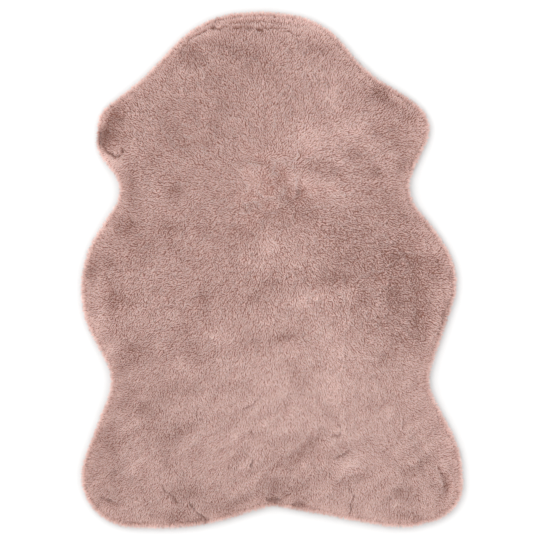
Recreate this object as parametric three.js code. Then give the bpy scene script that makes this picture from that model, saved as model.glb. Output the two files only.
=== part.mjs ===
// Faux fur rug, cut to the outline of a stretched sheepskin and lying flat with its pile up.
// It is one piece of cloth: a knitted ground with a dense plush pile, and no binding or hem.
// Millimetres, +Z up, +Y towards the crown end. The origin is on the floor, under the middle.
import * as THREE from 'three';

// Driving sizes
const PILE_TOP = 22;        // floor to the pile's tips, ground cloth included
const AROUND = 180;         // points along the rug's edge
const INNER_RINGS = 13;     // rings of faces between the rim's last ring and the middle

const LOBE = 1;             // the edge runs round the outside of this circle
const HOLLOW = -1;          // the edge runs round the far side of it, which bites into the rug

// The cutting pattern. Each row is a circle, and straight tangents join one to the next,
// anticlockwise from the crown. Left and right are as seen with the crown at the top.
const PATTERN = [
  { place: 'crown',           side: LOBE,   x: -17,  y: 165,  radius: 240 },
  { place: 'left brow',       side: LOBE,   x: -40,  y: 254,  radius: 150 },
  { place: 'left neck',       side: HOLLOW, x: -397, y: 510,  radius: 285 },
  { place: 'left ear top',    side: LOBE,   x: -234, y: 226,  radius: 40 },
  { place: 'left ear tip',    side: LOBE,   x: -228, y: 203,  radius: 48 },
  { place: 'left waist',      side: HOLLOW, x: -284, y: 125,  radius: 45 },
  { place: 'left flank',      side: LOBE,   x: -132, y: -30,  radius: 168 },
  { place: 'left hock',       side: HOLLOW, x: -318, y: -175, radius: 65 },
  { place: 'left foot',       side: LOBE,   x: -219, y: -323, radius: 81 },
  { place: 'left sole',       side: LOBE,   x: -170, y: -45,  radius: 360 },
  { place: 'tail notch',      side: HOLLOW, x: 2,    y: -400, radius: 30 },
  { place: 'right sole',      side: LOBE,   x: 200,  y: -264, radius: 140 },
  { place: 'right toe',       side: LOBE,   x: 241,  y: -337, radius: 58 },
  { place: 'right foot',      side: LOBE,   x: 168,  y: -318, radius: 130 },
  { place: 'right hock',      side: HOLLOW, x: 306,  y: -172, radius: 60 },
  { place: 'right flank',     side: LOBE,   x: 184,  y: -20,  radius: 105 },
  { place: 'right side',      side: LOBE,   x: 26,   y: -99,  radius: 280 },
  { place: 'right waist',     side: HOLLOW, x: 270,  y: 131,  radius: 55 },
  { place: 'right ear tip',   side: LOBE,   x: 200,  y: 221,  radius: 47 },
  { place: 'right ear top',   side: LOBE,   x: 122,  y: 147,  radius: 153 },
  { place: 'right neck',      side: HOLLOW, x: 277,  y: 460,  radius: 195 },
  { place: 'right brow',      side: LOBE,   x: 11,   y: 272,  radius: 130 },
];

// Section through the edge, where the pile fans out over the cut cloth and falls to the floor.
// inset is measured inwards from the outline, height is a share of PILE_TOP.
const RIM = [
  { inset: 5,   height: 0 },      // last point of the flat underside
  { inset: 0,   height: 0.2 },    // widest: tips of the outermost pile
  { inset: 1.5, height: 0.48 },
  { inset: 6,   height: 0.75 },
  { inset: 13,  height: 0.92 },
  { inset: 22,  height: 1 },
  { inset: 34,  height: 1 },
];

// Where the pile parts or is pressed down, as a soft trough along a straight line.
// half is the half-width at which a trough has faded to about a third of its depth.
const TROUGHS = [
  { place: 'crown parting, left',   x1: -140, y1: 341,  x2: -92,  y2: 379,  half: 9,  depth: 4 },
  { place: 'crown parting, middle', x1: -92,  y1: 379,  x2: -18,  y2: 379,  half: 9,  depth: 5 },
  { place: 'crown parting, right',  x1: -18,  y1: 379,  x2: 62,   y2: 374,  half: 9,  depth: 4 },
  { place: 'left ear cup',          x1: -247, y1: 236,  x2: -259, y2: 203,  half: 15, depth: 7 },
  { place: 'left ear crease',       x1: -262, y1: 188,  x2: -240, y2: 171,  half: 7,  depth: 3 },
  { place: 'right ear cup',         x1: 168,  y1: 272,  x2: 182,  y2: 258,  half: 14, depth: 4 },
  { place: 'right flank dip',       x1: 206,  y1: 20,   x2: 218,  y2: -88,  half: 22, depth: 4 },
  { place: 'right side crease',     x1: 104,  y1: -8,   x2: 176,  y2: 2,    half: 16, depth: 2 },
  { place: 'middle dip',            x1: 20,   y1: 102,  x2: 62,   y2: 112,  half: 20, depth: 2 },
  { place: 'left flank dip, upper', x1: -246, y1: -28,  x2: -234, y2: -36,  half: 15, depth: 3 },
  { place: 'left flank dip, lower', x1: -222, y1: -108, x2: -210, y2: -116, half: 17, depth: 3 },
  { place: 'tail pucker',           x1: -4,   y1: -344, x2: 12,   y2: -352, half: 14, depth: 6 },
  { place: 'right thigh crease',    x1: 26,   y1: -288, x2: 66,   y2: -250, half: 13, depth: 3 },
  { place: 'right toe dimple',      x1: 262,  y1: -334, x2: 266,  y2: -346, half: 12, depth: 4 },
  { place: 'left toe dimple',       x1: -268, y1: -352, x2: -254, y2: -358, half: 10, depth: 3 },
];

// Broad swells, where the pile stands fuller.
const SWELLS = [
  { place: 'shoulders', x: 60,   y: 170,  reach: 90,  rise: 1.5 },
  { place: 'middle',    x: 40,   y: 44,   reach: 60,  rise: 2 },
  { place: 'loin',      x: -40,  y: -70,  reach: 60,  rise: 1.5 },
  { place: 'rump',      x: 96,   y: -168, reach: 70,  rise: 2 },
  { place: 'left foot', x: -180, y: -250, reach: 80,  rise: 1.5 },
];

// Heading, in radians, of the straight run that leaves circle a and meets circle b.
function runHeading(a, b) {
  const across = b.side * b.radius - a.side * a.radius;
  const apart = Math.hypot(b.x - a.x, b.y - a.y);
  return Math.atan2(b.y - a.y, b.x - a.x) - Math.asin(across / apart);
}

// The pattern as one closed path of arcs and straights, centred on the origin.
function draftOutline() {
  const path = new THREE.Path();
  PATTERN.forEach((circle, i) => {
    const before = PATTERN.at(i - 1);
    const after = PATTERN[(i + 1) % PATTERN.length];
    // On a lobe the edge lies a quarter turn to the right of its heading, on a hollow to the left.
    const toEdge = -circle.side * Math.PI / 2;
    path.absarc(
      circle.x, circle.y, circle.radius,
      runHeading(before, circle) + toEdge, runHeading(circle, after) + toEdge,
      circle.side === HOLLOW,
    );
  });
  path.closePath();
  const points = path.getSpacedPoints(AROUND).slice(0, AROUND);
  const middle = new THREE.Box2().setFromPoints(points).getCenter(new THREE.Vector2());
  return points.map((point) => point.sub(middle));
}

// Unit normals of the outline, pointing into the rug.
function inwardNormals(outline) {
  return outline.map((_, i) => {
    const before = outline.at(i - 1);
    const after = outline[(i + 1) % outline.length];
    const along = after.clone().sub(before).normalize();
    return new THREE.Vector2(-along.y, along.x);
  });
}

function distanceToLine(x, y, line) {
  const run = new THREE.Vector2(line.x2 - line.x1, line.y2 - line.y1);
  const from = new THREE.Vector2(x - line.x1, y - line.y1);
  const share = THREE.MathUtils.clamp(from.dot(run) / run.lengthSq(), 0, 1);
  return from.distanceTo(run.multiplyScalar(share));
}

// How far the pile's top stands above or below PILE_TOP.
function relief(x, y) {
  const sunk = TROUGHS.map((t) => t.depth * Math.exp(-((distanceToLine(x, y, t) / t.half) ** 2)));
  const raised = SWELLS.map((s) => s.rise * Math.exp(-(((x - s.x) ** 2 + (y - s.y) ** 2) / s.reach ** 2)));
  return raised.reduce((sum, rise) => sum + rise, 0) - Math.max(...sunk);
}

// Rings of points from the edge of the underside, out over the rim and in towards the middle.
function rugRings() {
  const outline = draftOutline();
  const inwards = inwardNormals(outline);
  const ringAt = (inset) => outline.map((p, i) => p.clone().addScaledVector(inwards[i], inset));
  const lifted = (p, share) => {
    return new THREE.Vector3(p.x, p.y, share * (PILE_TOP + relief(p.x, p.y)));
  };
  const rim = RIM.map(({ inset, height }) => ringAt(inset).map((p) => lifted(p, height)));
  const inner = [];
  for (let k = 1; k < INNER_RINGS; k += 1) {
    const scale = 1 - k / INNER_RINGS;
    inner.push(ringAt(RIM.at(-1).inset).map((p) => lifted(p.multiplyScalar(scale), 1)));
  }
  return [...rim, ...inner];
}

// One closed skin: the flat underside, the rim, and the top closed at its middle point.
function rugGeometry() {
  const rings = rugRings();
  const points = rings.flat();
  const underside = points.push(new THREE.Vector3(0, 0, 0)) - 1;
  const top = points.push(new THREE.Vector3(0, 0, PILE_TOP + relief(0, 0))) - 1;
  const faces = [];
  for (let i = 0; i < AROUND; i += 1) {
    const next = (i + 1) % AROUND;
    faces.push(underside, next, i);
    for (let ring = 0; ring < rings.length - 1; ring += 1) {
      const [a, b] = [ring * AROUND + i, ring * AROUND + next];
      const [c, d] = [b + AROUND, a + AROUND];
      faces.push(a, b, c, a, c, d);
    }
    const last = (rings.length - 1) * AROUND;
    faces.push(last + i, last + next, top);
  }
  const geometry = new THREE.BufferGeometry().setFromPoints(points);
  geometry.setIndex(faces);
  geometry.computeVertexNormals();
  return geometry;
}

const fauxFur = new THREE.MeshStandardMaterial({ color: 0xba968e, roughness: 0.95, metalness: 0 });

const rug = new THREE.Mesh(rugGeometry(), fauxFur);
rug.name = 'fur_rug';

const group = new THREE.Group();
group.add(rug);

export default group;
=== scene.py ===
# %% [markdown]
# # A faux fur rug
#
# The real thing is one piece of knitted plush, cut to the outline of a stretched sheepskin.
# Three things are made here: the ground cloth with its dense undercoat, the tufts of pile
# that stand on it, and the shades that the lie of the pile gives them. Those shades come
# partly from how the tufts stand and partly from painted light and shade in their colour.
#
# The imported model is a fixed frame that gives the rug's outline and thickness. Lengths in
# Blender are metres, and MM below turns millimetres into them.

# %% Load the frame
import math

import bmesh
import bpy
import numpy as np
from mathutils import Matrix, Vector, noise


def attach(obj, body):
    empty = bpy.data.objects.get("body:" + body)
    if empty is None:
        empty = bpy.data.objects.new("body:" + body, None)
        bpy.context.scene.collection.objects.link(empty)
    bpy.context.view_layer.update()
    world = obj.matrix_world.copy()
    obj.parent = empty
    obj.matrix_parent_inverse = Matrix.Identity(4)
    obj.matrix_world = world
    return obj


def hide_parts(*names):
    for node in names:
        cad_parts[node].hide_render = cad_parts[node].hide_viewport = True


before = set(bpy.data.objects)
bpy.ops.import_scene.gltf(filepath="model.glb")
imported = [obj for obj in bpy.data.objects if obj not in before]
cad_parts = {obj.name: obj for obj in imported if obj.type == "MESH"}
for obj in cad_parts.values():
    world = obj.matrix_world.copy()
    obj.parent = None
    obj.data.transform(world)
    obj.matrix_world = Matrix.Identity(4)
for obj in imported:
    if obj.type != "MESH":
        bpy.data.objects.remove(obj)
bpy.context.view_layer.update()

rug_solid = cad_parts["fur_rug"]

# %% [markdown]
# ## Camera
#
# The rug is looked at squarely from above. A long lens from far away keeps its edges
# straight, so nothing near the border leans outwards.

# %% Camera
MM = 0.001
PILE_TOP = 22 * MM
VIEW_WIDTH = 846 * MM       # how much is seen from left to right, at the height of the pile
CAMERA_HEIGHT = 6.0
CAMERA_X = -3.1 * MM        # the rug lies a little to the right of the middle of the view
SENSOR_WIDTH = 36

camera = bpy.data.objects.new("camera", bpy.data.cameras.new("camera"))
camera.data.sensor_width = SENSOR_WIDTH
camera.data.lens = SENSOR_WIDTH * (CAMERA_HEIGHT - PILE_TOP) / VIEW_WIDTH
camera.location = (CAMERA_X, 0, CAMERA_HEIGHT)
bpy.context.scene.collection.objects.link(camera)
bpy.context.scene.camera = camera
print("lens:", round(camera.data.lens), "mm")

# %% [markdown]
# ## Helpers
#
# Colours are written as hex values, as a dyer's card would give them, and one function
# turns them into the linear light that shaders work in. One more adds a node to any tree.

# %% Helpers for colours and nodes
def linear(hex_colour):
    """An sRGB hex value such as "BA968E" as a linear colour with alpha."""
    parts = [int(hex_colour[i:i + 2], 16) / 255 for i in (0, 2, 4)]
    return [p / 12.92 if p <= 0.04045 else ((p + 0.055) / 1.055) ** 2.4 for p in parts] + [1]


def add(tree, kind, inputs=None, **settings):
    """Adds a node with its settings. inputs gives each socket a value, or what to link to it:
    a socket, or a node, which stands for its first output."""
    node = tree.nodes.new(kind)
    for name, value in settings.items():
        setattr(node, name, value)
    for key, value in (inputs or {}).items():
        if isinstance(value, bpy.types.Node):
            value = value.outputs[0]
        if isinstance(value, bpy.types.NodeSocket):
            tree.links.new(value, node.inputs[key])
        else:
            node.inputs[key].default_value = value
    return node


# %% [markdown]
# ## The cloth and its undercoat
#
# Under the tips the pile is so dense that it reads as one soft mass. So the cloth is a
# closed mesh: the solid, drawn in by the part of the pile that shows as single tufts.
# Its flat underside is the back of the ground cloth. Making every fibre down to the
# cloth would cost a hundred times the faces and show nothing more.

# %% Helpers for meshes
SAME_PLACE = 0.01 * MM      # points nearer to each other than this are one


def merged_copy(node, name):
    """The node's loose triangles as one joined mesh."""
    mesh = bpy.data.meshes.new(name)
    joined = bmesh.new()
    joined.from_mesh(node.data)
    bmesh.ops.remove_doubles(joined, verts=joined.verts, dist=SAME_PLACE)
    joined.to_mesh(mesh)
    joined.free()
    return mesh


def mesh_object(mesh):
    """A new object, at the origin, that shows the mesh."""
    made = bpy.data.objects.new(mesh.name, mesh)
    bpy.context.scene.collection.objects.link(made)
    return made


def read_vectors(mesh, what):
    """The points' places ("co") or normals ("normal") as rows of x, y and z."""
    values = np.empty(len(mesh.vertices) * 3)
    mesh.vertices.foreach_get(what, values)
    return values.reshape(-1, 3)


# %% Copy the solid's mesh and draw it in
TUFT_DEPTH = 4 * MM         # how far the single tufts stand out of the undercoat
LOWEST_SIDE = 0.5 * MM      # the undercoat's side comes down to this height
MIDDLE = 100 * MM           # the underside's points within this radius aren't on its edge

cloth = mesh_object(merged_copy(rug_solid, "rug_cloth"))
points, normals = read_vectors(cloth.data, "co"), read_vectors(cloth.data, "normal")
underneath = points[:, 2] < SAME_PLACE
flat_edge = points[underneath & (np.hypot(*points[:, :2].T) > MIDDLE), :2]
drawn_in = points - normals * TUFT_DEPTH
drawn_in[:, 2] = np.where(underneath, 0, np.maximum(drawn_in[:, 2], LOWEST_SIDE))
cloth.data.vertices.foreach_set("co", drawn_in.ravel())
cloth.data.update()
print("cloth:", len(cloth.data.polygons), "faces; underside edge:", len(flat_edge), "points")

# %% [markdown]
# The solid's long thin triangles would carry pile unevenly. A voxel remesh gives faces of
# one size. The pile grows from a finer copy, the skin, which is never shown. The skin's
# points carry the lie and the shade of the pile, and the wisps read them where they stand.

# %% Mesh the cloth evenly and make the skin
SKIN_FACE = 2.5 * MM
CLOTH_FACE = 7 * MM


def finished_mesh(maker, name):
    """The plain mesh that an object's modifiers make. The object itself goes."""
    evaluated = maker.evaluated_get(bpy.context.evaluated_depsgraph_get())
    mesh = bpy.data.meshes.new_from_object(evaluated)
    mesh.name = name
    bpy.data.objects.remove(maker)
    return mesh


def evenly_meshed(source, name, size):
    """The same shape in even faces about size across."""
    maker = mesh_object(source.data.copy())
    remesh = maker.modifiers.new("even", "REMESH")
    remesh.mode, remesh.voxel_size = "VOXEL", size
    return finished_mesh(maker, name)


skin = mesh_object(evenly_meshed(cloth, "skin", SKIN_FACE))
cloth.data = evenly_meshed(cloth, "rug_cloth", CLOTH_FACE)
cloth.data.shade_smooth()
print("cloth:", len(cloth.data.polygons), "faces; skin:", len(skin.data.polygons), "faces")

# %% [markdown]
# ## How the pile lies
#
# Along the border, plush leans out over the cut edge. Inside, it was brushed and pressed
# this way and that, so it lies in broad drifts. Where two drifts part, painted shade
# darkens the pile along a line, where the darker foot of the pile would show. All of this
# depends on how far a spot is from the border, so that distance comes first. It is measured
# from the edge of the solid's flat underside.

# %% Distance from the border
FLAT_EDGE_INSET = 5 * MM    # the solid's underside stops this far inside the pile's reach
NO_LENGTH = 0.001 * MM      # shorter than this, a line has no direction


def nearest_on_lines(points, starts, ends):
    """For each point, how far it is from the nearest of some lines, and the spot there."""
    best = np.full(len(points), np.inf)
    spots = np.zeros((len(points), 2))
    for start, end in zip(starts, ends):
        run = end - start
        share = np.clip((points - start) @ run / (run @ run), 0, 1)
        spot = start + share[:, None] * run
        away = np.hypot(*(points - spot).T)
        nearer = away < best
        best[nearer], spots[nearer] = away[nearer], spot[nearer]
    return best, spots


def around(points):
    """Each point's angle about the origin, and its distance from it."""
    return np.arctan2(points[:, 1], points[:, 0]), np.hypot(*points.T)


flat_edge = flat_edge[np.argsort(around(flat_edge)[0])]
plan = read_vectors(skin.data, "co")[:, :2]
away, spots = nearest_on_lines(plan, flat_edge, np.roll(flat_edge, -1, axis=0))
angle, radius = around(plan)
inside = radius < np.interp(angle, *around(flat_edge), period=math.tau)
inset = np.where(inside, away, -away) + FLAT_EDGE_INSET
outward = np.where(inside[:, None], spots - plan, plan - spots)
outward /= np.maximum(away, NO_LENGTH)[:, None]
print("inset from", round(inset.min() / MM, 1), "to", round(inset.max() / MM, 1), "mm")

# %% [markdown]
# ### Partings
#
# Where the pile falls to two sides, its dark foot would show as a fine line. That line is
# painted shade on the pile: under the crown, in the left ear, and as small creases on the
# rump and the feet. Under the crown and in the ear the pile is also laid back from it. Each
# is listed in a table, in millimetres from the rug's middle.

# %% Partings of the pile
# Each row is a straight line. half is its half-width, and dark is how much painted shade
# darkens the pile along it. Pile that leans over the line is laid back from it, out to
# reach and by the share back.
PARTINGS = [
    #  x1,    y1,    x2,    y2, half, dark, reach, back
    (-144,   338,  -128,   361,  1.5,  0.3,     4,  0.7),
    (-126,   362,  -100,   376,  1.3,  0.3,     4,  0.8),
    ( -98,   377,   -62,   380,  1.3,  0.4,     4,  1.0),
    ( -60,   378,   -36,   380,  1.5,  0.5,     5,  1.1),
    ( -34,   377,   -12,   374,  1.5,  0.5,     5,  1.1),
    ( -14,   379,    22,   376,  1.3,  0.4,     4,  1.0),
    (  14,   372,    46,   367,  1.3,  0.3,     4,  0.8),
    (-264,   198,  -253,   183,  1.6,  1.0,     4,  1.0),
    (-253,   183,  -243,   177,  1.6,  1.0,     4,  1.0),
    (-243,   178,  -231,   187,  1.6,  0.9,     4,  0.8),
    (-173,  -336,  -148,  -363,  1.5,  0.6,     0,  0.0),
    (-131,  -363,  -104,  -391,  1.5,  0.6,     0,  0.0),
    (-268,  -355,  -251,  -361,  1.5,  0.6,     0,  0.0),
    ( -47,  -216,   -30,  -208,  1.2,  0.8,     0,  0.0),
    ( -30,  -208,   -18,  -195,  1.2,  0.6,     0,  0.0),
    ( 104,  -242,   106,  -255,  1.2,  0.8,     0,  0.0),
    ( 106,  -255,    93,  -262,  1.2,  0.6,     0,  0.0),
    ( 116,  -283,    95,  -294,  1.5,  0.7,     0,  0.0),
    ( 123,  -339,   127,  -352,  1.3,  0.9,     0,  0.0),
    ( 127,  -352,   123,  -378,  1.3,  0.9,     0,  0.0),
    ( -35,  -250,   -26,  -260,  1.2,  0.8,     0,  0.0),
    ( -31,  -294,   -33,  -307,  1.2,  0.8,     0,  0.0),
    (  -9,  -358,    12,  -358,  2.0,  0.9,     0,  0.0),
]

print("partings:", len(PARTINGS))

# %% [markdown]
# A real parting is no ruled line: it wavers, and stray wisps break it up. Soft noise does
# both. It is worked out for each wisp, not for each point of the skin, because the line is
# finer than the skin's faces.

# %% Lay the pile back along its partings
PARTING_REACH = 12 * MM     # pile farther off than this is left alone
WAVER = 4 * MM              # how far a parting strays from its straight line
WAVER_LENGTH = 11 * MM
BREAK_LENGTH = 7 * MM       # the length of its fainter stretches
BESIDE = 0.2 * MM           # nearer than this, the pile is on the line


def wandering(points, size, seed):
    """Soft noise from about -1 to 1, in drifts about size across."""
    offset = Vector((seed * 7.3, seed * 3.1, 0))
    return np.array([noise.noise(Vector((x / size, y / size, 0)) + offset) for x, y in points])


def part_the_pile(points, lean):
    """Changes lean so that the pile is laid back, and returns the painted shade of each point."""
    dark = np.zeros(len(points))
    for x1, y1, x2, y2, half, shade_of_line, reach, back in PARTINGS:
        start, end = np.array([x1, y1]) * MM, np.array([x2, y2]) * MM
        near = np.flatnonzero(nearest_on_lines(points, [start], [end])[0] < PARTING_REACH)
        here = points[near]
        waves = [wandering(here, WAVER_LENGTH, seed) for seed in (6, 7)]
        here = here + np.c_[waves[0], waves[1]] * WAVER
        away, spot = nearest_on_lines(here, [start], [end])
        # It keeps about three quarters of its painted shade, but in places only a fifth.
        broken = np.clip(0.75 + 1.1 * wandering(points[near], BREAK_LENGTH, seed=12), 0.2, 1.05)
        dark[near] = np.maximum(dark[near], shade_of_line * broken * np.exp(-(away / (half * MM)) ** 2))
        if reach:
            side = (here - spot) / np.maximum(away, BESIDE)[:, None]
            over_the_line = np.minimum((lean[near] * side).sum(axis=1), 0)
            share = back * np.minimum(broken, 1) * np.exp(-(away / (reach * MM)) ** 4)
            lean[near] -= (share * over_the_line)[:, None] * side
    return dark
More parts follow.
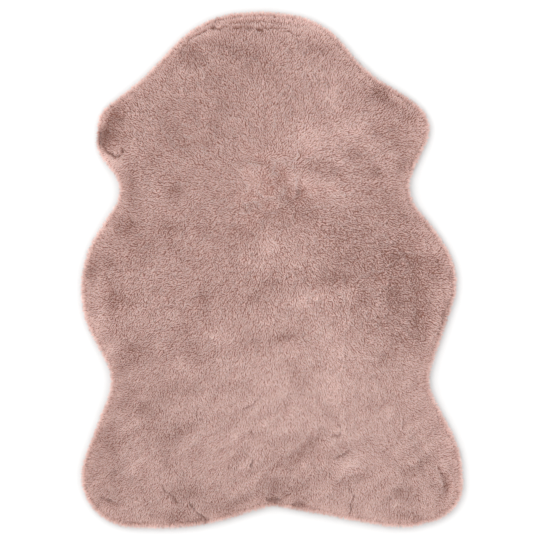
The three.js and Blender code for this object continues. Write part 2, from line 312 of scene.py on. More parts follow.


# %% [markdown]
# ### Drifts
#
# Plush is one colour, but it looks paler where it was brushed one way and darker where it
# was brushed the other. A real rug has such patches all over, from a thumb's width to a
# hand's, and they are what the eye knows it by. They could be noise alone, but then no
# patch would lie where it should. So the patches are listed one by one, and noise only
# adds to them. Each is a soft oval.

# %% Drifts of lighter and darker pile
# Each row gives the x and y of the middle, and how far the oval reaches along its own axis
# and across it, in millimetres. Then come that axis's turn from +X, in degrees, and the
# shade, as a percentage. Above 0 it is painted light and paler, below 0 painted shade.
DRIFTS = [
    # Crown
    (  36,  366, 22,  8, -10,   7),
    (  30,  395, 40,  6,  -5,  -5),
    ( -66,  391, 12,  6,  15,  -5),
    ( -58,  381, 24,  6,   0,   5),
    (   6,  376, 44,  7,  -6,  12),
    ( -27,  300, 14, 10,  90,  -5),
    (  78,  350, 14,  9, -30,   4),
    (  50,  282, 12,  9,   0,  -4),
    ( -48,  340, 40, 14,  -5, -10),
    ( -12,  322, 16, 16,  90,  -6),
    (-126,  334, 18, 14,  60,  -9),
    ( -95,  290, 30, 12,  10,  -5),
    (  12,  312, 14, 14,   0,  -5),
    (  62,  306, 22, 10, -35,   5),
    ( 122,  306, 14, 10, -40,   4),
    (  95,  275, 26, 14,  80,  10),
    (  70,  343, 22, 10, -15, -11),
    ( -72,  254, 18, 12,   0,  -9),
    ( -94,  370, 28,  7,  20,  14),
    ( -78,  395, 20,  6,  20, -12),
    (-108,  327, 12, 12,   0,  -7),
    ( -74,  352, 14,  8,   0,  -5),
    ( -35,  318, 10, 14,   0,  -5),
    (  78,  368, 14,  9, -30,   4),
    ( 128,  316, 12, 10,   0,  -5),
    (  40,  388, 34,  8,  -8,   7),
    # Ears and shoulders
    ( 190,  222, 20, 16, -30,  -5),
    (-222,  206, 14, 12,   0,  -5),
    ( 198,  274, 26,  7, -30,  -7),
    (-240,  181, 14,  9,   0,   7),
    (-272,  206,  8, 11,  90, -14),
    (-262,  229,  9,  8,   0,   7),
    (-248,  205,  9, 12,  90,  -6),
    ( 198,  279, 20,  8, -32, -10),
    (-170,  238, 12, 12,   0,  -4),
    ( 185,  240, 16,  9,   0,   5),
    ( 118,  218, 18, 12,   0,   6),
    ( 225,  178, 12, 10,   0,  -5),
    (  94,  172, 16,  8,   0,   5),
    ( 150,  190, 12, 10,   0,   4),
    (-212,  180, 14, 10,   0,   4),
    (-250,  234, 28, 11,  57, -18),
    (-264,  207, 14,  9,  60, -26),
    (-240,  198, 13,  8, -40,   4),
    (-250,  212, 16, 10,   0,  -8),
    (-238,  168, 14,  8,   0,  10),
    (-258,  180, 12,  7, -30,  12),
    (-225,  215, 13, 12,   0,   6),
    (-152,  232, 24, 14,  95,  -4),
    (-164,  207, 12, 10,   0,  -5),
    (-140,  205, 14, 10,   0,  -9),
    ( -98,  200, 14, 11,   0,  -9),
    ( 172,  272, 22, 13, -50, -18),
    ( 188,  272, 10,  8,   0,   5),
    ( 160,  220, 26,  9, -15,  -5),
    ( 222,  266, 12,  8,   0,  -5),
    ( 210,  238, 13, 11,   0, -11),
    ( 138,  226, 16, 10,  60,   9),
    ( 192,  200, 24, 12, -50,  -7),
    ( 204,  163, 12, 12,   0, -12),
    ( 160,  153, 14, 10,   0, -12),
    (  55,  205, 32, 24,  20,   9),
    ( 130,  178, 15, 10,   0, -11),
    (  84,  168, 18, 10,   0,  -6),
    (  10,  137, 10, 12,   0,  -7),
    (  30,  144, 12,  9,   0,   4),
    ( 118,  157, 12,  8,   0,   5),
    ( -90,  226, 14, 10,   0,  -8),
    (-124,  241, 14,  9, -20,  -6),
    (-136,  191, 12,  9,   0,  -5),
    (-184,  178, 10, 10,   0,  -5),
    ( -34,  166, 14, 10,   0,  -5),
    ( -30,  195, 12,  8,   0,   4),
    (  58,  160, 14,  9,   0,  -6),
    # Waist
    (  48,  132, 11, 14,  80,  10),
    (  -8,  160, 26, 13, -30,  -6),
    (-155,   42, 14, 14,   0,  -6),
    ( 110,  270, 10, 30,  60,  -4),
    ( 205,  125, 12, 12,   0,   5),
    ( 110,  163, 20,  9,   0,   4),
    ( 104,  144, 16,  7,   0,  -4),
    (-182,  118, 14, 16,   0,   4),
    (  12,  163,  9, 12,   0,   4),
    (  66,  118, 14,  9,   0,  -4),
    (-243,   78, 10,  9,   0,  -4),
    (-283,   12,  9, 14,  80,   5),
    ( -98,   60, 14, 10,   0,  -6),
    (  30,   14, 12, 10,  45,   6),
    (  46,    1, 12,  8,   0,  -6),
    (  85,   30, 10,  9,   0,  -4),
    ( 162,   38, 10, 10,   0,  -4),
    ( 230,   27, 18, 10,   0,   5),
    (  98,  154, 28,  8,   5, -12),
    (  60,  128, 26, 10, -52,   8),
    (  86,  134, 30, 10, -45,   9),
    ( -30,  150, 30, 22,  90,   9),
    (-150,  125, 15, 12,   0, -13),
    ( 124,   84, 22, 16,   0,  -6),
    ( 148,  118, 20,  8,  20,  -5),
    (-112,   76, 14, 10,   0,  -5),
    (-218,  130, 42, 10,  90,  -7),
    (-222,   66, 17, 13,   0, -16),
    (-200,   38, 18, 14,   0,  -8),
    (  36,  112, 26, 12,  40, -11),
    ( -46,   62, 18, 13,   0, -12),
    ( -70,   34, 12, 12,   0,  -5),
    ( -96,   36,  9, 12,   0,   6),
    ( -14,   70,  9, 10,   0,  -7),
    ( -14,   62, 18,  9, -15,   6),
    (  54,   84, 12, 11,   0,  -6),
    (  80,   64, 12, 12,   0,  -6),
    (-262,   68, 16, 11,  60,   9),
    (-160,   68, 20, 14,   0,  -8),
    (   0,   36, 22, 14,   0,   9),
    ( 138,   62, 16, 13,   0,  -9),
    ( 104,   50, 24, 16, -30,  -8),
    ( 110,   18, 14, 12,   0, -12),
    ( 142,   14, 18, 14,   0,  -4),
    # Flanks
    (-254,  -56, 14, 14,   0,   5),
    (-118,  -38, 10,  9,   0,   5),
    (  28,  -30, 18,  9, -20,   4),
    ( 247,  -10, 14,  9, -25,  -6),
    ( 256,  -42, 12, 10,   0,   5),
    ( 284,  -10,  8, 16,  90,  -6),
    (  90,  -78, 12,  9,   0,  -5),
    ( 178,  105, 26, 34,   0,  -7),
    ( 232,   74, 12, 10,   0,  -8),
    ( 186,   22, 20, 15,   0, -10),
    ( 230,   15, 16,  8, -10,  -7),
    ( 256,   14, 12, 10,   0,  -5),
    ( 236,   38, 14,  9,   0,   4),
    ( 130,   32, 14, 10,   0,  -5),
    (  86,    2, 14, 10,   0,  -5),
    ( 152,   -2, 14, 10,   0,  -4),
    ( 203,   60, 10, 10,   0,  -4),
    ( 200,   84, 12, 16,   0,  -5),
    ( 196,   -5, 70, 38,  95,  -8),
    ( 258,    3, 13, 10,  90, -10),
    ( 268,  -76, 26,  9,  75, -16),
    (  92,  -12, 38,  9,  12, -13),
    ( 190,  -46, 26, 14,  90,  -7),
    ( 142,  -44, 16, 18,   0,  -9),
    ( 160,  -20, 12, 12,   0,   5),
    ( 119,  -36, 14,  9,  60,   9),
    ( 168,  -84, 18, 12,   0,  -8),
    ( 224,  -68, 24, 12,  95,  -7),
    ( 190, -104, 14, 12,   0,  -8),
    (  54,  -46, 32, 18,  10,   9),
    (  80,  -82, 30, 18,  70,   8),
    ( -17,    6, 16,  8,   0,   7),
    (  -2,  -18, 26,  8,   0,  -9),
    ( 104, -125, 22, 14,   0,   8),
    ( -28,  -42, 16,  9,   0,  -8),
    ( -98,  -34, 14,  9,   0,  -7),
    (-114,  -56, 14,  7,  55,   7),
    (  76,  -62, 14, 10,   0,  -5),
    (  10,   28, 12,  9,   0,  -5),
    ( -35,   68, 14,  9, -20,   5),
    (-125,   20, 20, 12,   0,  -4),
    (-118,  -44, 12, 10,   0,  -5),
    ( -30, -110, 20,  8,   0,  -4),
    (-108,  -48, 20, 12,  90, -10),
    (-132,  -84, 22, 12,  60,  -7),
    (-210,   14, 14, 12,   0,  -5),
    (-266,  -30, 22, 12,  85,  10),
    (-248,  -56, 18, 13,  90, -13),
    (-268,  -84, 20, 10,  70,  10),
    (-281,    0, 18, 12,  70, -16),
    (-255,   14, 13, 11,   0,  -8),
    # Hocks and loin
    (-168, -130, 14, 12,   0,  -6),
    ( 190, -123, 14, 12,   0,  -6),
    ( 170, -205, 22, 12,  40,  -5),
    (  34, -155, 10, 18,   0,  -5),
    (  85,  -50, 40, 10,   0,  -4),
    ( 148, -150, 12,  9, -40,   7),
    (-145,  -75, 13, 10,   0,   5),
    (  -8,  -96, 34,  8,   5,   4),
    ( 183, -116, 24, 10,  35,   6),
    ( 244, -126, 10, 14,  80,  -5),
    (  22, -131, 14, 12,   0,   5),
    (  78, -144, 26, 10, -15,   4),
    (-104, -155, 10, 12,   0,  -4),
    ( -90, -178, 12, 10,   0,  -5),
    ( -72, -226, 14, 16,  60,  -5),
    (  -8, -226, 26,  9,  20,  -4),
    (  76, -188, 12,  9,   0,  -5),
    ( 155, -156, 12, 14,  80,  -5),
    ( -82, -104, 16, 12,   0,   8),
    (-124, -128, 15, 13,   0,  -8),
    (-245, -118, 16, 14,   0,   8),
    (-198, -216, 22, 12, -20, -12),
    (-165, -188, 24, 16,   0,  -4),
    (-130, -184, 14, 12,   0,  -8),
    (-188, -252, 14, 12,   0, -11),
    (-242, -238, 16, 12,   0,   9),
    (-246, -286, 32, 14,  95,  -8),
    (-236, -144, 20, 12,  70,  -8),
    (-202, -122, 14, 12,  90,  -6),
    (-212, -182, 20, 10,  10,  -5),
    (-216, -146, 10, 10,   0,  -5),
    (-147, -180, 14, 10,   0,  -4),
    (-152, -216, 14, 12,   0,   5),
    (-158, -252, 14,  9,   0,   4),
    ( -22, -250, 14,  9,   0,  -5),
    ( 160, -205, 12, 12,   0,  -5),
    (-180, -122, 16, 12,   0,   5),
    (-140, -142, 14, 10,   0,   5),
    ( -50, -177, 22, 12,   0,  -9),
    (  20, -103, 20,  8,   0, -12),
    (  40, -180, 14, 10,   0,  -8),
    (   6, -262, 18, 10,   0,  -8),
    (  70, -150, 13,  8,   0,  -9),
    ( -30, -170, 62, 34,  10,   5),
    (  54, -146, 14, 10,   0,   6),
    (  28, -182, 24, 12, -35,   6),
    ( 222, -177, 14, 12,   0,  -8),
    ( 156, -182, 16, 10,   0,   8),
    (  92, -180, 34, 24,  60,   9),
    (  92, -222, 12, 14,   0,  -8),
    ( 104, -252, 16, 12,  60,   8),
    (  62, -242, 20, 10,  20,  12),
    ( 152, -216, 12, 10,   0, -10),
    ( 175, -134, 18, 11,  60,  -8),
    ( 165, -215, 44, 20,  20,   6),
    # Feet
    (-240, -250, 14, 30,   0,  -6),
    (-142, -248, 26, 12,  30,  -6),
    (-240, -325, 14, 14,   0,  -5),
    ( 238, -300, 16, 12,  30,  -4),
    (  60, -262, 14, 12, -40,  -6),
    (   0, -302, 16, 10,   0,  -6),
    ( -30, -322, 12, 10,   0,  -6),
    ( -22, -347, 12,  9,   0,   7),
    ( 278, -312,  9, 14,   0,  -7),
    ( 238, -386, 16,  9,  20,  -7),
    ( 188, -380, 14,  9,   0,   5),
    (-272, -372, 14, 12, -45,  -7),
    ( -50, -381, 34,  6,  12, -10),
    (  50, -378, 50,  6,  -8, -11),
    (-120, -391, 24,  8,   5,  -8),
    ( -48, -280, 22, 14,  60,  -5),
    (  86, -255, 12,  9,  40,   4),
    ( 118, -284, 12, 13,  60,  -5),
    (  15, -304, 18,  8,  42,   5),
    ( -20, -328,  9, 14,  70,   5),
    ( 272, -290, 10, 14, 100,  -6),
    ( 268, -330,  8, 13, 110,   7),
    ( 266, -372, 14,  9,  40,  -7),
    ( 186, -345, 13,  9,  45,  -5),
    ( 165, -330, 18,  7,  42,   5),
    ( 205, -386, 16,  8,   0,  -4),
    (  52, -372, 14,  7, -10,  -5),
    ( -28, -357, 14,  8,  10,  -5),
    (-167, -346, 14, 10,   0,   4),
    (-268, -354, 12,  9,  45,   4),
    (-276, -388, 16,  8, -45,  -5),
    (-166, -264, 26, 14,  35, -10),
    (-160, -298, 12, 16,   0, -10),
    (-195, -345, 18, 14,   0,  -8),
    (-136, -345, 26, 14,  10, -17),
    (-150, -386, 26, 15,   0, -12),
    (-240, -392, 30, 10, -12, -10),
    ( -86, -364, 18, 12,  15, -10),
    ( -48, -352, 18, 12,  15,  -7),
    ( -62, -366, 16,  9,  15,  -5),
    (   3, -340, 20,  9,  88, -12),
    (   2, -361, 12,  7,   0, -18),
    (  48, -338, 18, 10,   0,  -8),
    (  42, -366, 11, 10,   0, -18),
    ( -20, -245, 80, 30,  20,   5),
    ( 208, -312, 16, 12,   0, -12),
    ( 206, -212, 14, 12,   0,  -5),
    ( 272, -290, 24, 10,  80,   9),
    ( 158, -370, 14, 10,  50,   7),
    ( 188, -380, 16, 12,   0,  -9),
    (  75, -320, 20,  8,  30,  -9),
    ( 120, -302, 28,  7,  30,  11),
    ( 120, -326, 26,  6,  25,  -7),
    ( 262, -352, 16, 12,   0,   9),
    ( 208, -350, 16, 12,   0,  -8),
    ( 156, -324, 16, 10,   0,  -6),
    ( 268, -340, 10, 14,  20,  -7),
    ( 213, -262, 12, 12,   0,  -5),
    ( 100, -326, 12,  9,   0,  -5),
    (  20, -342, 12,  9,   0,  -5),
    (-108, -362, 10, 12,   0,  -5),
    ( -66, -376, 14,  8,  10,  -5),
    (-118, -396, 16,  8,   0,  -6),
    (-190, -364, 14, 10,   0,  -4),
    ( 238, -312, 20, 10, -60,  -6),
    ( 222, -382, 16, 10,   0,  -5),
    (-284, -352, 26,  9,  95,  -8),
    (-280, -262, 30,  9,  80,  -8),
    (-188, -384, 24, 10,   0,  -5),
]

print("drifts:", len(DRIFTS))


# %% The shade that the drifts give
def turned(points, degrees):
    """The points in axes turned by that much: along the turned X, and across it."""
    c, s = math.cos(math.radians(degrees)), math.sin(math.radians(degrees))
    return np.c_[points @ (c, s), points @ (-s, c)]


def shade_of_drifts(points):
    """How much paler (or darker, below 0) the drifts make each point."""
    shade = np.zeros(len(points))
    for x, y, along, across, turn, percent in DRIFTS:
        away = turned(points - np.array([x, y]) * MM, turn) / (np.array([along, across]) * MM)
        shade += percent / 100 * np.exp(-(away ** 2).sum(axis=1))
    return shade


# %% Shade of the whole pile
BROAD_SHADE = 0.02          # of soft noise in patches of 40 mm
SMALL_SHADE = 0.04          # of soft noise in patches of 16 mm
STROKE_SHADE = 0.06         # of painted streaks of light and shade on the rump, where a hand has stroked the pile
STROKE_ANGLE = 38           # of those streaks, in degrees from +X
RIM_PAINTED_LIGHT = 0.1             # painted light: how much paler the thin pile of the border is


def rising(values, start, end):
    """0 up to start and 1 from end on, with a straight slope between them."""
    return np.clip((values - start) / (end - start), 0, 1)


tailwards = -plan[:, 1]
broad, small = wandering(plan, 40 * MM, seed=3), wandering(plan, 16 * MM, seed=4)
strokes = wandering(turned(plan, STROKE_ANGLE) / (4, 1), 13 * MM, seed=8)
# The shade below goes into the wisps' colour as painted light and shade, and it also lays pale
# pile flatter.
shade = shade_of_drifts(plan) + BROAD_SHADE * broad + SMALL_SHADE * small
shade += STROKE_SHADE * strokes * rising(tailwards, 100 * MM, 220 * MM)
# Painted light makes the border paler, and painted shade makes its outermost pile a little darker
# again.
border = 1 - rising(inset, 6 * MM, 24 * MM)
shade += RIM_PAINTED_LIGHT * border * np.clip((inset - 4.5 * MM) / (5 * MM), -0.4, 1)
print("shade from", round(shade.min(), 2), "to", round(shade.max(), 2))

# %% [markdown]
# ### Lean
#
# The shade of a drift is painted into the pile's colour as light and shade, and it also
# changes how the pile stands there: pale pile is laid flatter and smoother, and dark pile
# stands up, rough, so that one looks down into it. The nap runs out from a whorl, as it
# does on a hide. It wanders on its way, and near the border it turns to point straight
# outwards.

# %% How far the pile leans and how rough it is
NAP_LEAN = 0.56             # how far it leans, as the tangent of its angle
ROUGHNESS = 0.9             # how much of the tufts' sway there is where no drift changes it
RUMP_SMOOTHNESS = 0.35      # how much less there is on the rump
FLATTENING = 2              # how strongly a paler shade lays the pile flat and smooths it

laid = NAP_LEAN * np.clip(1 + FLATTENING * shade, 0.4, 1.5)
rump = rising(tailwards, 60 * MM, 200 * MM)
rough = np.clip(ROUGHNESS - FLATTENING * shade - RUMP_SMOOTHNESS * rump, 0.25, 1.5)
# At the border the pile is half as rough.
rough *= 0.5 + 0.5 * rising(inset, 6 * MM, 20 * MM)
print("mean lean:", round(laid.mean(), 2), "mean roughness:", round(rough.mean(), 2))

# %% Which way it leans
WHORL = np.array([0, 130]) * MM
WHORL_REACH = 60 * MM       # within it the pile stands every way
RIM_WIDTH = 50 * MM         # over which the pile turns to point outwards
BROAD_TURN = 0.8            # radians that noise turns the nap by, over 80 mm,
SMALL_TURN = 0.5            # over 24 mm,
WHORL_TURN = 5              # at the whorl,
ROUGH_TURN = 1.4            # and where the pile is rough

heading, whorl_away = around(plan - WHORL)
broad, small = wandering(plan, 80 * MM, seed=1), wandering(plan, 24 * MM, seed=2)
heading += BROAD_TURN * broad + SMALL_TURN * small
tousled = np.exp(-(whorl_away / WHORL_REACH) ** 2)
heading += WHORL_TURN * tousled * wandering(plan, 22 * MM, seed=15)
heading += ROUGH_TURN * rough * wandering(plan, 9 * MM, seed=9)
turn = (around(outward)[0] - heading + math.pi) % math.tau - math.pi
rim = 1 - rising(inset, TUFT_DEPTH, TUFT_DEPTH + RIM_WIDTH)
# It points straight out already a little before the very edge.
heading += turn * np.minimum(1.3 * rim, 1)
print("points of the skin near the border:", int((rim > 0).sum()))

# %% [markdown]
# Round the side of the rug the skin itself tips the pile outwards, so it needs less lean
# of its own. Wisps that all pointed straight out would be seen end on there, with gaps
# between them. So they cross one another and hang a little, as real pile does.

# %% Round the side, and write it all on the skin
SIDE_HANG = 0.16            # how far the pile leans down at the side
SIDE_PAINTED_SHADE = 0.03           # painted shade: how much darker the pile is there
UNDERSIDE = -0.6            # a normal that points down more than this is on the underside


def write_attribute(mesh, name, kind, values):
    """Stores one value, or one vector, for each point of the mesh."""
    attribute = mesh.attributes.new(name, kind, "POINT")
    attribute.data.foreach_set("vector" if kind == "FLOAT_VECTOR" else "value", values.ravel())


skin_normals = read_vectors(skin.data, "normal")
tipped = np.hypot(*skin_normals[:, :2].T)
laid = np.maximum(laid * np.abs(skin_normals[:, 2]) - tipped, 0)
lean = laid[:, None] * np.c_[np.cos(heading), np.sin(heading)]
crossing = rising(tipped, 0.2, 0.5) * wandering(plan, 3 * MM, seed=14)
lean += crossing[:, None] * np.c_[-skin_normals[:, 1], skin_normals[:, 0]]
steep = rising(tipped, 0.35, 0.85)
bare = (skin_normals[:, 2] < UNDERSIDE).astype(float)
write_attribute(skin.data, "lean", "FLOAT_VECTOR", np.c_[lean, -SIDE_HANG * steep])
# Painted shade makes the pile on the side a little darker in colour.
write_attribute(skin.data, "shade", "FLOAT", shade - SIDE_PAINTED_SHADE * steep)
write_attribute(skin.data, "rough", "FLOAT", rough)
write_attribute(skin.data, "tipped", "FLOAT", tipped)
write_attribute(skin.data, "bare", "FLOAT", bare)
print("bare points of the skin:", int(bare.sum()), "of", len(bare))

# %% [markdown]
# ## Finishes
#
# ### The pile
#
# Faux fur is acrylic or polyester fibre, brushed until it fluffs. Each fibre is smooth,
# but the eye sees thousands of them at once, so the pile looks quite matt. The tips are
# sheared and catch the light, and the foot of the pile stays in the dark; that shade is
# painted into the colour. The colour follows two values that each wisp carries: along,
# from its foot to its tip, and tone, the shade of its drift, which is painted light and
# shade too.

# %% Finish of the pile
PILE_FOOT_SHADE = "784A3F"        # painted shade at the foot of a tuft, deep in the pile
PILE_TOP_HALF = "CDABA2"    # its upper half, which catches the light
PILE_TIP = "C1B5B2"         # its very tip, where the fibres thin out
PAINTED_DRIFT_RICHNESS = (1.5, 0.6)       # the power that deepens the colour as painted shade, in the darkest and palest drift
PAINTED_DRIFT_STRENGTH = (0.735, 1.32)    # how strong the colour is in those, as painted light and shade


def new_material(name, roughness, specular):
    """A material with its tree and its Principled shader."""
    material = bpy.data.materials.new(name)
    material.use_nodes = True
    shader = material.node_tree.nodes["Principled BSDF"]
    shader.inputs["Roughness"].default_value = roughness
    shader.inputs["Specular IOR Level"].default_value = specular
    return material, material.node_tree, shader


def brushed_acrylic_pile():
    # Brushed acrylic pile: painted shade darkens the foot; it is light and matt at the sheared
    # tip.
    material, tree, shader = new_material("brushed_acrylic_pile", roughness=0.9, specular=0.2)
    along = add(tree, "ShaderNodeAttribute", attribute_name="along").outputs["Fac"]
    tone = add(tree, "ShaderNodeAttribute", attribute_name="tone").outputs["Fac"]
    ramp = add(tree, "ShaderNodeValToRGB", {0: along})
    stops = ramp.color_ramp.elements
    stops[0].position, stops[0].color = 0.0, linear(PILE_FOOT_SHADE)
    stops[1].position, stops[1].color = 0.5, linear(PILE_TOP_HALF)
    stops.new(0.7).color = linear(PILE_TOP_HALF)
    stops.new(1.0).color = linear(PILE_TIP)
    deepen, strengthen = [
        add(tree, "ShaderNodeMapRange", {"Value": tone, "To Min": darkest, "To Max": palest})
        for darkest, palest in (PAINTED_DRIFT_RICHNESS, PAINTED_DRIFT_STRENGTH)
    ]
    rich = add(tree, "ShaderNodeGamma", {"Color": ramp, "Gamma": deepen})
    shaded = {0: rich, "Scale": strengthen}
    shaded = add(tree, "ShaderNodeVectorMath", shaded, operation="SCALE")
    tree.links.new(shaded.outputs[0], shader.inputs["Base Color"])
    return material


pile_finish = brushed_acrylic_pile()
print("nodes in the pile's finish:", len(pile_finish.node_tree.nodes))

# %% [markdown]
# ### The undercoat
#
# Between the tufts the eye meets fibre of the same dye in the pile's own shadow, so it is
# painted darker and redder than the tips, as painted shade. More light gets in at the side
# of the rug, so there painted light makes the undercoat as pale as the pile.

# %% Finish of the undercoat
UNDERCOAT_SHADE = ("8E6155", "A5796C")        # its darker and its paler fluff, in painted shade
SIDE_FIBRE_SHADE_AND_LIGHT = ("8C675E", "C9ABA3")       # painted shade in the gaps and painted light on the fibres at the side
FLUFF_SCALE = 260.0                     # noise with 260 clumps to a metre, 4 mm each
FIBRE_SCALE = 900.0                     # noise with 900 fibres to a metre, 1 mm each
SHADED_TOP, LIT_SIDE = 0.92, 0.6                   # Z of the normal, on the top in painted shade and at the side in painted light


def dense_undercoat():
    # Dense undercoat in painted shade: soft clumps of fluff 4 mm across, and matt single fibres in
    # painted light at the side.
    # Real fibres are far finer than 1 mm, but those wouldn't show.
    material, tree, shader = new_material("dense_undercoat", roughness=0.95, specular=0.1)
    place = add(tree, "ShaderNodeTexCoord").outputs["Object"]

    def speckled(scale, detail, colours):
        inputs = {"Vector": place, "Scale": scale, "Detail": detail}
        speck = add(tree, "ShaderNodeTexNoise", inputs)
        inputs = {0: speck, 6: linear(colours[0]), 7: linear(colours[1])}
        return add(tree, "ShaderNodeMix", inputs, data_type="RGBA").outputs[2]

    mass = speckled(FLUFF_SCALE, 3.0, UNDERCOAT_SHADE)
    tips = speckled(FIBRE_SCALE, 2.0, SIDE_FIBRE_SHADE_AND_LIGHT)
    normal = add(tree, "ShaderNodeNewGeometry").outputs["Normal"]
    side = {"Value": add(tree, "ShaderNodeSeparateXYZ", {0: normal}).outputs["Z"]}
    side.update({"From Min": SHADED_TOP, "From Max": LIT_SIDE})
    side = add(tree, "ShaderNodeMapRange", side)
    both = add(tree, "ShaderNodeMix", {0: side, 6: mass, 7: tips}, data_type="RGBA")
    tree.links.new(both.outputs[2], shader.inputs["Base Color"])
    return material


undercoat_finish = dense_undercoat()
print("nodes in the undercoat's finish:", len(undercoat_finish.node_tree.nodes))

# %% [markdown]
# ### The back
#
# The pile is knitted into a thin ground cloth, whose back shows when the rug is turned
# over. It has fine ribs, the wales, that run along the rug.

# %% Finish of the back
SHADED_KNIT = ("8B6D66", "A2867F")             # painted shade in the hollows between the wales, and the wales
WALE_SCALE = 160.0                      # waves 314 mm / 160 apart, so 2 mm
WALE_RELIEF = 0.2 * MM
BACK_FACING = -0.9                      # a face that points down more than this is the back


def fine_knit_ground_cloth():
    # Fine warp knit, dyed with the pile, quite matt. Its wales are drawn 2 mm apart, twice
    # as far as real ones, so that they show.
    material, tree, shader = new_material("fine_knit_ground_cloth", roughness=0.85, specular=0.2)
    place = add(tree, "ShaderNodeTexCoord").outputs["Object"]
    wales = {"Vector": place, "Scale": WALE_SCALE, "Distortion": 0.4}
    wales = add(tree, "ShaderNodeTexWave", wales).outputs[1]
    # Painted shade darkens the hollows between the wales, where the relief is low.
    shaded_yarn = {0: wales, 6: linear(SHADED_KNIT[0]), 7: linear(SHADED_KNIT[1])}
    shaded_yarn = add(tree, "ShaderNodeMix", shaded_yarn, data_type="RGBA").outputs[2]
    relief = {"Strength": 0.5, "Distance": WALE_RELIEF, "Height": wales}
    relief = add(tree, "ShaderNodeBump", relief).outputs[0]
    tree.links.new(shaded_yarn, shader.inputs["Base Color"])
    tree.links.new(relief, shader.inputs["Normal"])
    return material


cloth.data.materials.clear()
cloth.data.materials.append(undercoat_finish)
cloth.data.materials.append(fine_knit_ground_cloth())
for face in cloth.data.polygons:
    face.material_index = int(face.normal.z < BACK_FACING)
print("faces of the back:", sum(face.material_index for face in cloth.data.polygons))

# %% [markdown]
# ## The pile
#
# The pile that shows is nearly 340,000 wisps, each a flat four-sided face that narrows to
# its tip. Fibres stick together, so the wisps of one tuft bend towards a common tip. A
# particle system could grow them, but Geometry Nodes let each wisp read the lie of the
# pile where it stands. They work in two steps. The first tree scatters tufts and wisps
# over the skin and asks, for each wisp, which tuft is nearest. Its result is one point for
# each wisp.

# %% Helpers for the two trees
MATHS, VECTOR_MATHS = "ShaderNodeMath", "ShaderNodeVectorMath"
SPLIT, JOIN = "ShaderNodeSeparateXYZ", "ShaderNodeCombineXYZ"
READ, STORE = "GeometryNodeInputNamedAttribute", "GeometryNodeStoreNamedAttribute"


def node_tree(name, sockets, result):
    """A new Geometry Nodes tree with named inputs, and the sockets that those inputs give."""
    tree = bpy.data.node_groups.new(name, "GeometryNodeTree")
    for label, kind in sockets:
        tree.interface.new_socket(label, in_out="INPUT", socket_type="NodeSocket" + kind)
    tree.interface.new_socket(result, in_out="OUTPUT", socket_type="NodeSocketGeometry")
    return tree, add(tree, "NodeGroupInput").outputs


def evaluated_mesh(source, tree, values, name):
    """The plain mesh that a tree makes of a copy of source, with its inputs set by name."""
    maker = mesh_object(source.copy())
    modifier = maker.modifiers.new("nodes", "NODES")
    modifier.node_group = tree
    for item in tree.interface.items_tree:
        if item.name in values:
            modifier[item.identifier] = values[item.name]
    return finished_mesh(maker, name)


# %% The tree that scatters the tufts and the wisps
TRIES = 3.0                 # spots tried in each square of the spacing; too near ones go


def scatter_tree():
    tree, given = node_tree("scatter_wisps", [
        ("Skin", "Geometry"), ("Tuft spacing", "Float"), ("Wisp spacing", "Float"),
        ("Seed", "Int"),
    ], "Roots")
    bare = add(tree, READ, {"Name": "bare"})
    haired = {0: given["Skin"], 1: add(tree, MATHS, {0: bare, 1: 0.5}, operation="LESS_THAN")}
    haired = add(tree, "GeometryNodeSeparateGeometry", haired, domain="FACE")

    def scattered(spacing, salt):
        square = add(tree, MATHS, {0: spacing, 1: spacing}, operation="MULTIPLY")
        inputs = {
            "Mesh": haired,
            "Distance Min": spacing,
            "Density Max": add(tree, MATHS, {0: TRIES, 1: square}, operation="DIVIDE"),
            "Seed": add(tree, MATHS, {0: given["Seed"], 1: salt}, operation="ADD"),
        }
        node = "GeometryNodeDistributePointsOnFaces"
        return add(tree, node, inputs, distribute_method="POISSON").outputs

    tufts = scattered(given["Tuft spacing"], 11)["Points"]
    wisps = scattered(given["Wisp spacing"], 12)
    here = add(tree, "GeometryNodeInputPosition")
    tuft = add(tree, "GeometryNodeSampleNearest", {"Geometry": tufts}, domain="POINT")
    middle = {"Geometry": tufts, "Value": here, "Index": tuft}
    middle = add(tree, "GeometryNodeSampleIndex", middle, data_type="FLOAT_VECTOR", domain="POINT")
    to_middle = add(tree, VECTOR_MATHS, {0: middle, 1: here}, operation="SUBTRACT")

    roots = wisps["Points"]
    for name, kind, value in [
        ("out", "FLOAT_VECTOR", wisps["Normal"]),
        ("tuft", "INT", tuft),
        ("to_middle", "FLOAT_VECTOR", to_middle),
        ("number", "INT", add(tree, "GeometryNodeInputIndex")),
    ]:
        roots = {"Geometry": roots, "Name": name, "Value": value}
        roots = add(tree, STORE, roots, data_type=kind, domain="POINT")
    roots = add(tree, "GeometryNodePointsToVertices", {0: roots})
    add(tree, "NodeGroupOutput", {0: roots})
    return tree


# %% Scatter them, and part the pile
SCATTERING = {"Tuft spacing": 2.0 * MM, "Wisp spacing": 0.8 * MM, "Seed": 5}


def read_attribute(mesh, name, width):
    """A named attribute's numbers, in rows of three where it is a vector."""
    values = np.empty(len(mesh.vertices) * width)
    mesh.attributes[name].data.foreach_get("vector" if width == 3 else "value", values)
    return values.reshape(-1, 3) if width == 3 else values


roots = evaluated_mesh(skin.data, scatter_tree(), SCATTERING, "roots")
lean, shade = read_attribute(roots, "lean", 3), read_attribute(roots, "shade", 1)
shade -= part_the_pile(read_vectors(roots, "co")[:, :2], lean[:, :2])
roots.attributes["lean"].data.foreach_set("vector", lean.ravel())
roots.attributes["shade"].data.foreach_set("value", shade.ravel())
print("wisps:", len(roots.vertices))

# %% [markdown]
# The second tree stands a wisp on each of those points and bends it over. It leaves its
# result as plain faces, in six bands from the crown to the feet, one piece for each band.
# The functions below each make one part of that tree.

# %% Which roots, and where their wisps point
SPIN = 0.7                  # radians, either way, that a wisp is turned about its own length


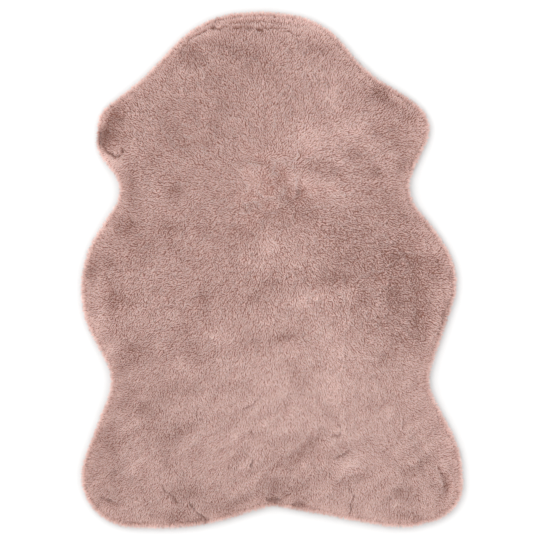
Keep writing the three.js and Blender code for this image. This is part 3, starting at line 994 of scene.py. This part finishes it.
def chance(tree, given, low, high, salt, ident="number", kind="FLOAT"):
    """A random value for each wisp, or one for each tuft. salt sets one draw off from another."""
    slots = {"FLOAT": (2, 3, 1), "FLOAT_VECTOR": (0, 1, 0)}[kind]
    seed = add(tree, MATHS, {0: given["Seed"], 1: salt}, operation="ADD")
    inputs = {slots[0]: low, slots[1]: high, "Seed": seed}
    inputs["ID"] = add(tree, READ, {"Name": ident}, data_type="INT")
    return add(tree, "FunctionNodeRandomValue", inputs, data_type=kind).outputs[slots[2]]


def roots_of_the_band(tree, given, here):
    along_rug = add(tree, SPLIT, {0: here}).outputs["Y"]
    above = add(tree, MATHS, {0: along_rug, 1: given["From Y"]}, operation="GREATER_THAN")
    below = add(tree, MATHS, {0: along_rug, 1: given["To Y"]}, operation="LESS_THAN")
    both = add(tree, MATHS, {0: above, 1: below}, operation="MULTIPLY")
    inputs = {0: given["Roots"], 1: both}
    return add(tree, "GeometryNodeSeparateGeometry", inputs, domain="POINT")


def wisp_rotation(tree, given):
    """Out of the skin, then over by the lie of the pile. The wisp's flat faces out, but it
    is given a turn about its own length."""
    out = add(tree, READ, {"Name": "out"}, data_type="FLOAT_VECTOR")
    lean = add(tree, READ, {"Name": "lean"}, data_type="FLOAT_VECTOR")
    leaning = add(tree, VECTOR_MATHS, {0: out, 1: lean}, operation="ADD")
    align = "FunctionNodeAlignRotationToVector"
    upright = add(tree, align, {"Vector": leaning}, axis="Z")
    facing = {"Rotation": upright, "Vector": out}
    facing = add(tree, align, facing, axis="Y", pivot_axis="Z")
    spin = {"Axis": (0, 0, 1), "Angle": chance(tree, given, -SPIN, SPIN, 15)}
    spin = add(tree, "FunctionNodeAxisAngleToRotation", spin)
    return add(tree, "FunctionNodeRotateRotation", {0: facing, 1: spin}, rotation_space="LOCAL")


# %% How long a wisp is, how its tip sways, and its tone
WISP_LENGTHS = (0.9, 1.05)  # the shears leave a wisp this share of its length
TUFT_LENGTHS = (0.92, 1.04)
FRAYED = 0.6                # at the side, up to this share of the length is missing
WISP_TONES = 0.04           # how much paler or darker one wisp of a drift is
TUFT_TONES = 0.03


def wisp_length(tree, given):
    """Nearly even, as sheared pile is, but frayed where the skin is tipped, at the side."""
    length = chance(tree, given, *WISP_LENGTHS, 16)
    of_tuft = chance(tree, given, *TUFT_LENGTHS, 17, "tuft")
    frayed = {0: add(tree, READ, {"Name": "tipped"}), 1: chance(tree, given, 0.0, -FRAYED, 20)}
    frayed = add(tree, MATHS, frayed, operation="MULTIPLY")
    frayed = add(tree, MATHS, {0: frayed, 1: 1.0}, operation="ADD")
    for share in (of_tuft, frayed, given["Wisp length"]):
        length = add(tree, MATHS, {0: length, 1: share}, operation="MULTIPLY")
    return length


def tip_sway(tree, given):
    """Towards the tuft's middle, over with the whole tuft, and a little alone."""
    flat = (-1, -1, 0), (1, 1, 0)
    moves = {
        "Tuft pull": add(tree, READ, {"Name": "to_middle"}, data_type="FLOAT_VECTOR"),
        "Tuft sway": chance(tree, given, *flat, 13, "tuft", "FLOAT_VECTOR"),
        "Wisp sway": chance(tree, given, *flat, 14, kind="FLOAT_VECTOR"),
    }
    for name, move in moves.items():
        scaling = {0: move, "Scale": given[name]}
        moves[name] = add(tree, VECTOR_MATHS, scaling, operation="SCALE")
    sway = {0: moves["Tuft pull"], 1: moves["Tuft sway"]}
    sway = {0: add(tree, VECTOR_MATHS, sway, operation="ADD")}
    sway["Scale"] = add(tree, READ, {"Name": "rough"})
    sway = add(tree, VECTOR_MATHS, sway, operation="SCALE")
    return add(tree, VECTOR_MATHS, {0: sway, 1: moves["Wisp sway"]}, operation="ADD")


def wisp_tone(tree, given):
    """The shade of the drift, a little different for each tuft and each wisp, from 0 to 1."""
    of_tuft = chance(tree, given, -TUFT_TONES, TUFT_TONES, 18, "tuft")
    of_wisp = chance(tree, given, -WISP_TONES, WISP_TONES, 19)
    tone = add(tree, READ, {"Name": "shade"})
    for paler in (of_tuft, of_wisp):
        tone = add(tree, MATHS, {0: tone, 1: paler}, operation="ADD")
    return add(tree, "ShaderNodeMapRange", {"Value": tone, "From Min": -0.5, "From Max": 0.5})


# %% Stand the wisps up and bend them
LOWEST_TIP = 0.3 * MM       # no wisp gets nearer to the floor than this

wisp_mesh = bpy.data.meshes.new("one_wisp")
wisp_mesh.from_pydata(
    [(0.5, 0, 0), (-0.5, 0, 0), (-0.3, 0, 1), (0.3, 0, 1)], [], [(0, 1, 2, 3)],
)
one_wisp = mesh_object(wisp_mesh)


def standing_wisps(tree, given, here):
    """A copy of the one wisp, of unit width and height, on each root. It keeps its own
    coordinates as along and across."""
    wisp = add(tree, "GeometryNodeObjectInfo", {0: one_wisp}, transform_space="ORIGINAL")
    wisp = wisp.outputs["Geometry"]
    place = add(tree, SPLIT, {0: here}).outputs
    for name, axis in (("along", "Z"), ("across", "X")):
        wisp = add(tree, STORE, {"Geometry": wisp, "Name": name, "Value": place[axis]})
    points = roots_of_the_band(tree, given, here)
    points = {"Geometry": points, "Name": "sway", "Value": tip_sway(tree, given)}
    points = add(tree, STORE, points, data_type="FLOAT_VECTOR")
    points = {"Geometry": points, "Name": "tone", "Value": wisp_tone(tree, given)}
    points = add(tree, STORE, points)
    size = {0: given["Wisp width"], 1: given["Wisp width"], 2: wisp_length(tree, given)}
    standing = {
        "Points": points,
        "Instance": wisp,
        "Rotation": wisp_rotation(tree, given),
        "Scale": add(tree, JOIN, size),
    }
    standing = add(tree, "GeometryNodeInstanceOnPoints", standing)
    return add(tree, "GeometryNodeRealizeInstances", {0: standing})


def bent(tree, pile, here):
    """The wisps bent over by their sway, most at the tip, and kept off the floor."""
    along = add(tree, READ, {"Name": "along"})
    bend = {0: add(tree, READ, {"Name": "sway"}, data_type="FLOAT_VECTOR")}
    bend["Scale"] = add(tree, MATHS, {0: along, 1: along}, operation="MULTIPLY")
    bend = add(tree, VECTOR_MATHS, bend, operation="SCALE")
    place = add(tree, VECTOR_MATHS, {0: here, 1: bend}, operation="ADD")
    place = add(tree, SPLIT, {0: place}).outputs
    height = add(tree, MATHS, {0: place[2], 1: LOWEST_TIP}, operation="MAXIMUM")
    kept = add(tree, JOIN, {0: place[0], 1: place[1], 2: height})
    return add(tree, "GeometryNodeSetPosition", {"Geometry": pile, "Position": kept})


# %% [markdown]
# The finish depends on tone and along alone. So every wisp is laid on the same small map,
# with tone to the right and along upwards. A bake of the finish then needs one spot for
# each shade, not one for each wisp.

# %% Map the wisps, and put the tree together
MAP_SHARE = 0.96            # how much of the map is used
MAP_MARGIN = 0.02
WISP_ON_MAP = 0.006         # how wide a wisp is there


def mapped(tree, pile):
    """The pile with its UV map."""
    names = ("tone", "across", "along")
    tone, across, along = [add(tree, READ, {"Name": name}) for name in names]
    across = {0: across, 1: WISP_ON_MAP}
    across[2] = add(tree, MATHS, {0: tone, 1: MAP_SHARE, 2: MAP_MARGIN}, operation="MULTIPLY_ADD")
    spot = {
        0: add(tree, MATHS, across, operation="MULTIPLY_ADD"),
        1: add(tree, MATHS, {0: along, 1: MAP_SHARE, 2: MAP_MARGIN}, operation="MULTIPLY_ADD"),
    }
    inputs = {"Geometry": pile, "Name": "OFBake", "Value": add(tree, JOIN, spot)}
    return add(tree, STORE, inputs, data_type="FLOAT2", domain="CORNER")


def grow_tree():
    tree, given = node_tree("grow_pile", [
        ("Roots", "Geometry"), ("From Y", "Float"), ("To Y", "Float"),
        ("Wisp length", "Float"), ("Wisp width", "Float"), ("Tuft pull", "Float"),
        ("Tuft sway", "Float"), ("Wisp sway", "Float"), ("Seed", "Int"), ("Finish", "Material"),
    ], "Pile")
    here = add(tree, "GeometryNodeInputPosition")
    pile = mapped(tree, bent(tree, standing_wisps(tree, given, here), here))
    pile = add(tree, "GeometryNodeSetMaterial", {"Geometry": pile, "Material": given["Finish"]})
    add(tree, "NodeGroupOutput", {0: pile})
    return tree


pile_tree = grow_tree()
print("nodes in the tree:", len(pile_tree.nodes))

# %% Grow the pile, band by band
GROWTH = {
    "Wisp length": 7.5 * MM, "Wisp width": 0.85 * MM, "Tuft pull": 0.9, "Tuft sway": 1.0 * MM,
    "Wisp sway": 0.5 * MM, "Seed": 5, "Finish": pile_finish,
}
BANDS = [
    # name,         from y, to y
    ("crown_pile",     245,  500),
    ("ear_pile",       125,  245),
    ("waist_pile",       0,  125),
    ("flank_pile",    -115,    0),
    ("hock_pile",     -255, -115),
    ("foot_pile",     -500, -255),
]


def grown(name, low, high):
    """One band of pile as a plain mesh."""
    values = {**GROWTH, "From Y": low * MM, "To Y": high * MM}
    return mesh_object(evaluated_mesh(roots, pile_tree, values, name))


pile = [grown(*band) for band in BANDS]
for piece in pile:
    piece.data.calc_loop_triangles()
    print(piece.name, len(piece.data.loop_triangles), "triangles")
for helper in (skin, one_wisp):
    bpy.data.objects.remove(helper)

# %% [markdown]
# ## Floor and light
#
# A white floor and even, soft light from all round, with a little more from the left.

# %% Floor and light
FLOOR_REACH = 4             # metres from its middle to each side
FLOOR_HEIGHT = -1 * MM
LIGHT_ALL_ROUND = 2.24
LAMP_PLACE = (-0.9, 0.5, 2.4)
LAMP_WIDTH = 2.5
LAMP_WATTS = 45

corners = [(-1, -1), (1, -1), (1, 1), (-1, 1)]
corners = [(x * FLOOR_REACH, y * FLOOR_REACH, FLOOR_HEIGHT) for x, y in corners]
floor_mesh = bpy.data.meshes.new("floor")
floor_mesh.from_pydata(corners, [], [(0, 1, 2, 3)])
floor = mesh_object(floor_mesh)
floor_finish, _, floor_shader = new_material("white_studio_floor", roughness=0.9, specular=0.5)
floor_shader.inputs["Base Color"].default_value = linear("ADADAD")
floor.data.materials.append(floor_finish)

world = bpy.data.worlds.new("studio")
world.use_nodes = True
background = world.node_tree.nodes["Background"]
background.inputs["Color"].default_value = (1, 1, 1, 1)
background.inputs["Strength"].default_value = LIGHT_ALL_ROUND
bpy.context.scene.world = world

lamp = bpy.data.lights.new("soft_box", "AREA")
lamp.shape, lamp.size, lamp.energy = "DISK", LAMP_WIDTH, LAMP_WATTS
lamp_object = bpy.data.objects.new("soft_box", lamp)
lamp_object.location = LAMP_PLACE
lamp_object.rotation_euler = (-lamp_object.location).to_track_quat("-Z", "Y").to_euler()
bpy.context.scene.collection.objects.link(lamp_object)
bpy.context.scene.view_settings.view_transform = "Standard"
print("lamp:", lamp.energy, "watts,", lamp.size, "m across")

# %% [markdown]
#
# Every piece rides on the rug's one body, and the cloth stands for the solid.

for piece in [cloth, *pile]:
    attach(piece, "root")
print("declared:", [piece.name for piece in (cloth, *pile)])
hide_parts("fur_rug")
